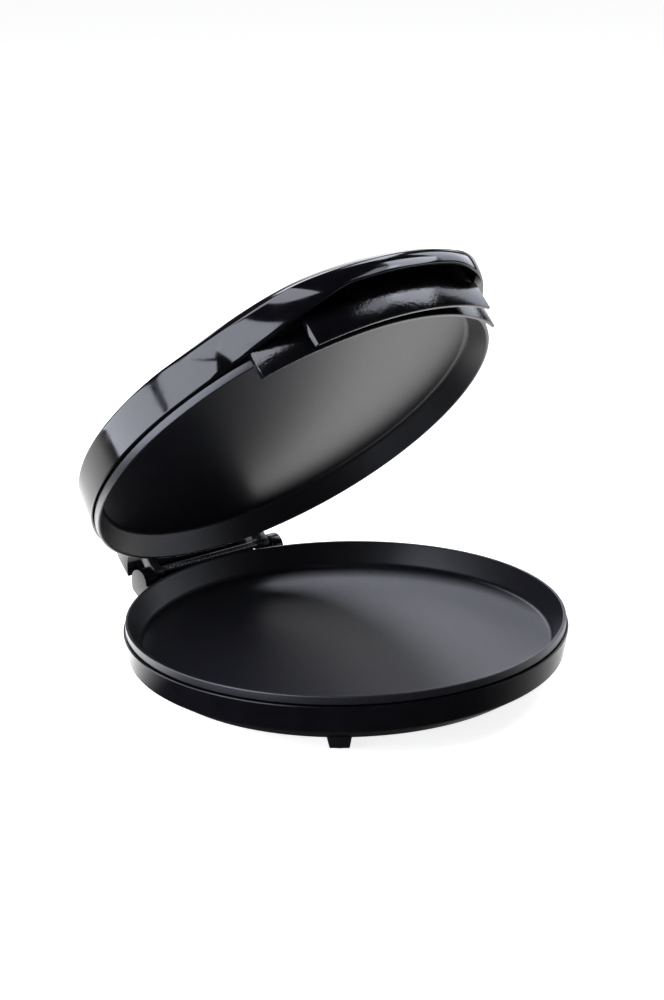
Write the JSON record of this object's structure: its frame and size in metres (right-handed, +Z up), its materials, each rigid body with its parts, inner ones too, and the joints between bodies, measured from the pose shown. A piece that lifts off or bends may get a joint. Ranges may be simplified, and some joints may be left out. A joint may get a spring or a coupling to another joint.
{
  "type": "electric pizza maker",
  "caption": "Round countertop pizza maker with a hinged domed lid, front lift handle and shallow non-stick cooking plates in a black casing on feet.",
  "frame": {"origin": "on the table, under the middle of the whole part's outline as the lid stands open", "axes": "+Z up; X along the hinge pin; -Y towards the handle, +Y towards the hinge"},
  "size_m": [0.3258, 0.3709, 0.3269],
  "materials": {
    "casing_plastic": "satin gloss black moulded plastic",
    "nonstick_coating": "charcoal non-stick coating on cast aluminium",
    "heater_sheath": "tubular heating element's steel sheath",
    "clamp_steel": "pressed steel",
    "shield_aluminium": "bright rolled aluminium",
    "electrical_plastic": "cream heat-proof moulding",
    "lead_insulation": "silicone insulated lead",
    "bushing_rubber": "black rubber",
    "pad_rubber": "dark grey rubber",
    "screw_steel": "zinc plated steel",
    "pin_steel": "black oxide steel",
    "spring_steel": "blackened close-wound spring wire",
    "lid_gloss": "polished black moulded plastic",
    "skirt_plastic": "black moulded plastic with a fine orange-peel gloss",
    "red_lens": "clear red signal lens",
    "green_lens": "clear green signal lens",
    "arm_plastic": "satin black glass-filled plastic",
    "foot_plastic": "matte black moulded plastic"
  },
  "bodies": {
    "base": {"lower_casing": "casing_plastic", "lower_plate": "nonstick_coating", "lower_element": "heater_sheath", "lower_clamps": "clamp_steel", "lower_shield": "shield_aluminium", "thermostat": "electrical_plastic", "thermal_fuse": "electrical_plastic", "terminal_block": "electrical_plastic", "base_wiring": "lead_insulation", "cord_bushing": "bushing_rubber", "foot_front_left": "foot_plastic", "foot_front_right": "foot_plastic", "foot_rear_left": "foot_plastic", "foot_rear_right": "foot_plastic", "foot_pads": "pad_rubber", "foot_screws": "screw_steel", "hinge_bracket": "casing_plastic", "hinge_pin": "pin_steel", "hinge_spring": "spring_steel", "hinge_sleeve": "pin_steel", "hinge_washers": "pin_steel"},
    "lid": {"lid_shell": "lid_gloss", "outer_skirt": "skirt_plastic", "inner_skirt": "skirt_plastic", "upper_plate": "nonstick_coating", "upper_element": "heater_sheath", "upper_clamps": "clamp_steel", "upper_shield": "shield_aluminium", "plate_screws": "screw_steel", "power_lens": "red_lens", "ready_lens": "green_lens", "lamp_holder": "electrical_plastic", "lid_wiring": "lead_insulation", "hinge_arm_left": "arm_plastic", "hinge_arm_right": "arm_plastic", "arm_screws": "screw_steel", "skirt_screws": "screw_steel"}
  },
  "joints": [
    {"name": "lid_hinge", "type": "hinge", "parent": "base", "child": "lid", "pos_m": [0, 0.14594, 0.048], "axis": [-1, 0, 0], "range_deg": [-45.65, 54.35]}
  ]
}
